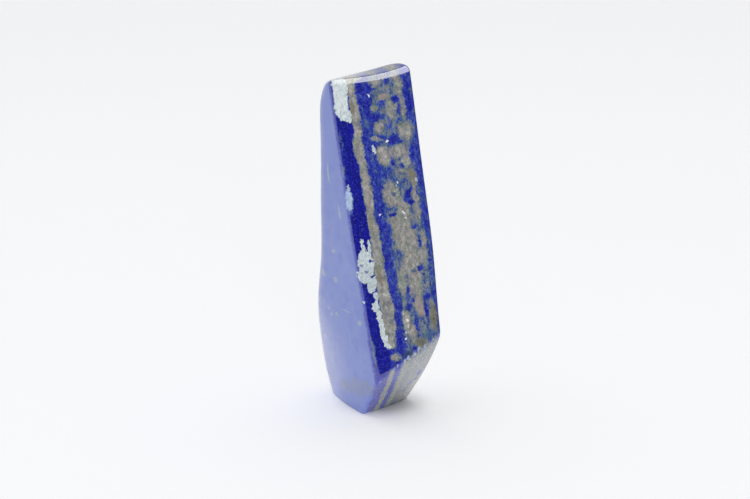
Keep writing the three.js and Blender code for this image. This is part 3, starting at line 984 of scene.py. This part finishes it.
kind_share = times(kind, 1 / KIND_SPAN, 0.5)
colour = ramp(paint, kind_share, [(at / KIND_SPAN + 0.5, shade) for at, shade in KIND_RAMP])
stain_noise = add(paint, "TexNoise", {"Vector": streaked, "Scale": STAIN_SCALE, "Detail": DETAIL})
colour = vector_of(paint, "MULTIPLY", colour, ramp(paint, stain_noise.outputs[0], STAINS))
light_noise = centred_noise(streaked, *LIGHT_NOISE)
light = times(light_noise, LIGHT_HEIGHT, 1)
grain_light = times(grain_shade.outputs[1], GRAIN_LIGHT, GRAIN_DARK)
light = times(light, grain_light)
colour = scaled(paint, colour, light)
# Painted highlights: sparse pale blue glints in the base colour stand in for grains that catch the light.
glints = step_up(centred_noise(rock_place, *GLINT_NOISE), GLINT_START, GLINT_SOFT)
glints = times(glints, GLINT_SHARE)
glints = times(glints, less_on_heel(GLINT_LOST))
colour = between(paint, glints, colour, (*GLINT_BLUE, 1), "RGBA")
print(len(KIND_RAMP), "colours from lazurite to marble")

# %% [markdown]
# The broad face lies along the seam of pure lazurite, so it is one even blue, and its rounded edge a darker
# one. That blue is lighter than the lazurite inside, and the extra lightness is painted reflection of the
# white sheet that the face mirrors; the edge mirrors the dark end of the room and keeps a darker blue. The
# edge is as shallow as the face, so depth can't part them, but the distance behind the banded face can.

# %% Blue of the broad face
SKIN_BLUE_AND_PAINTED_REFLECTION, EDGE_BLUE = (0.10, 0.172, 0.60), (0.028, 0.05, 0.44)
BLUE_DEPTH, BLUE_LOST, BLUE_SOFT = 4.5, 1.4, 0.6  # how deep it reaches, and how much less on the heel
EDGE_BEGINS, SKIN_BEGINS = (0.5, 0.5), (1.4, 1.2)  # start and width

blue_depth = times(below_line, -BLUE_LOST, BLUE_DEPTH)
near_blue = step_up(sum_of(paint, "SUBTRACT", blue_depth, depth_in), 0, BLUE_SOFT)
behind_front = sum_of(paint, "SUBTRACT", inward_in, FRONT_SKIN)
# Painted reflection: the skin blue is lighter than lazurite, to add to the white sheet mirrored in the broad
# face.
for blue, begins in ((EDGE_BLUE, EDGE_BEGINS), (SKIN_BLUE_AND_PAINTED_REFLECTION, SKIN_BEGINS)):
    blue_mask = times(near_blue, step_up(behind_front, *begins))
    colour = between(paint, blue_mask, colour, (*blue, 1), "RGBA")
print("blue to", BLUE_DEPTH, "mm below the broad face")

# %% [markdown]
# The last colours lie over all of that. Each could be a material of its own, but then the frayed edges would
# be lost.

# %% Tints, calcite and sparkles
TINT_GAIN, ASH_GAIN, DENT_GAIN, SPARKLE_GAIN, TINT_STRENGTH = 1.3, 1.2, 2.0, 3, 0.6
ASH_SPECKS, ASH_BASE = 0.5, 0.45
CALCITE_RAMP = [(0.0, (0.28, 0.36, 0.40)), (0.5, (0.42, 0.51, 0.55)), (0.9, (0.66, 0.76, 0.78)),
                (1.0, (0.80, 0.88, 0.89))]
CALCITE_PATCHES, CALCITE_SPECKS, CALCITE_START, CALCITE_SOFT, CALCITE_COVER = 0.2, 0.22, 0.46, 0.6, 0.94
CHALK_SPECKS, CHALK_LIGHT = 0.3, 0.14
SPARKLE_WHITE, SPARKLE_REACH = (0.92, 0.93, 0.95, 1), 1.2

colour = paint_lumps(bent_place, colour, TINTS, TINT_GAIN, TINT_STRENGTH)
ash = paint_lumps(wait_for(bent_place, colour), empty_field(), ASH_LUMPS, ASH_GAIN)
ash_grains = times(specks, ASH_SPECKS, ASH_BASE, clamp=True)
colour = between(paint, times(ash, ash_grains), colour, (*ASH, 1), "RGBA")
calcite = times(patches, CALCITE_PATCHES, white)
calcite = times(specks, CALCITE_SPECKS, calcite)
calcite = times(step_up(calcite, CALCITE_START, CALCITE_SOFT), CALCITE_COVER)
chalk = ramp(paint, times(specks, CHALK_SPECKS, white), CALCITE_RAMP)
chalk_light = times(light_noise, CHALK_LIGHT, 1)
chalk = scaled(paint, chalk, chalk_light)
colour = between(paint, calcite, colour, chalk, "RGBA")
colour = paint_lumps(bent_place, colour, DENT_TINTS, DENT_GAIN, TINT_STRENGTH)
# Painted highlights: each sparkle is a near-white speck in the base colour where a crystal catches the light.
sparkle = empty_field()
sparkle_place = wait_for(bent_place, colour)
for depth, along, size in SPARKLES:
    middle, radii = (depth, FRONT_SKIN, along), (size, SPARKLE_REACH, size)
    sparkle = sum_of(paint, "MAXIMUM", sparkle, lump(sparkle_place, middle, radii, SPARKLE_GAIN))
colour = between(paint, sparkle, colour, SPARKLE_WHITE, "RGBA")
print("colours laid over the mixture:", len(TINTS) + len(ASH_LUMPS) + len(DENT_TINTS) + len(SPARKLES))

# %% [markdown]
# ## Polish
#
# Lazurite takes a fine polish and the softer marble a duller one, so the roughness and the clear gloss follow
# the kind, and calcite is the dullest. Handling leaves the gloss a little uneven. One roughness for the whole
# stone would be simpler, but then the marble would shine like the blue.

# %% Finish the material
IOR, COAT_ROUGHNESS, CALCITE_ROUGHNESS, CALCITE_SHINE = 1.6, 0.08, 0.4, 0.25
HAND_MARKS, HAND_HEIGHT, HAND_BASE = (3.2, DETAIL), 0.35, 0.92
SKIN_SCALE, SKIN_STRENGTH, SKIN_HEIGHT = 1.6, 0.05, 0.2


def by_kind(low, high, first, second):
    """A number that goes from the first to the second while the kind goes from low to high."""
    return add(paint, "MapRange", {0: kind, 1: low, 2: high, 3: first, 4: second}).outputs[0]


shader = paint.nodes["Principled BSDF"]
dull = between(paint, calcite, by_kind(-0.6, 0.8, 0.09, 0.24), CALCITE_ROUGHNESS)
shine = between(paint, calcite, by_kind(-0.2, 0.8, 1.0, 0.7), CALCITE_SHINE)
hand_marks = centred_noise(rock_place, *HAND_MARKS)
hand_marks = times(hand_marks, HAND_HEIGHT, HAND_BASE)
shine = times(shine, hand_marks, clamp=True)
for socket, link in (("Base Color", colour), ("Roughness", dull), ("Coat Weight", shine)):
    paint.links.new(link, shader.inputs[socket])
for socket, value in (("IOR", IOR), ("Coat IOR", IOR), ("Coat Roughness", COAT_ROUGHNESS)):
    shader.inputs[socket].default_value = value
skin_noise = add(paint, "TexNoise", {"Vector": rock_place, "Scale": SKIN_SCALE, "Detail": DETAIL})
skin_bump = add(paint, "Bump", {
    "Height": skin_noise.outputs[0], "Strength": SKIN_STRENGTH, "Distance": SKIN_HEIGHT * MM})
paint.links.new(skin_bump.outputs[0], shader.inputs["Normal"])
stone.data.materials.append(rock)
print("material nodes:", len(paint.nodes))

# %% View transform
bpy.context.scene.view_settings.view_transform = "Standard"
bpy.context.view_layer.update()
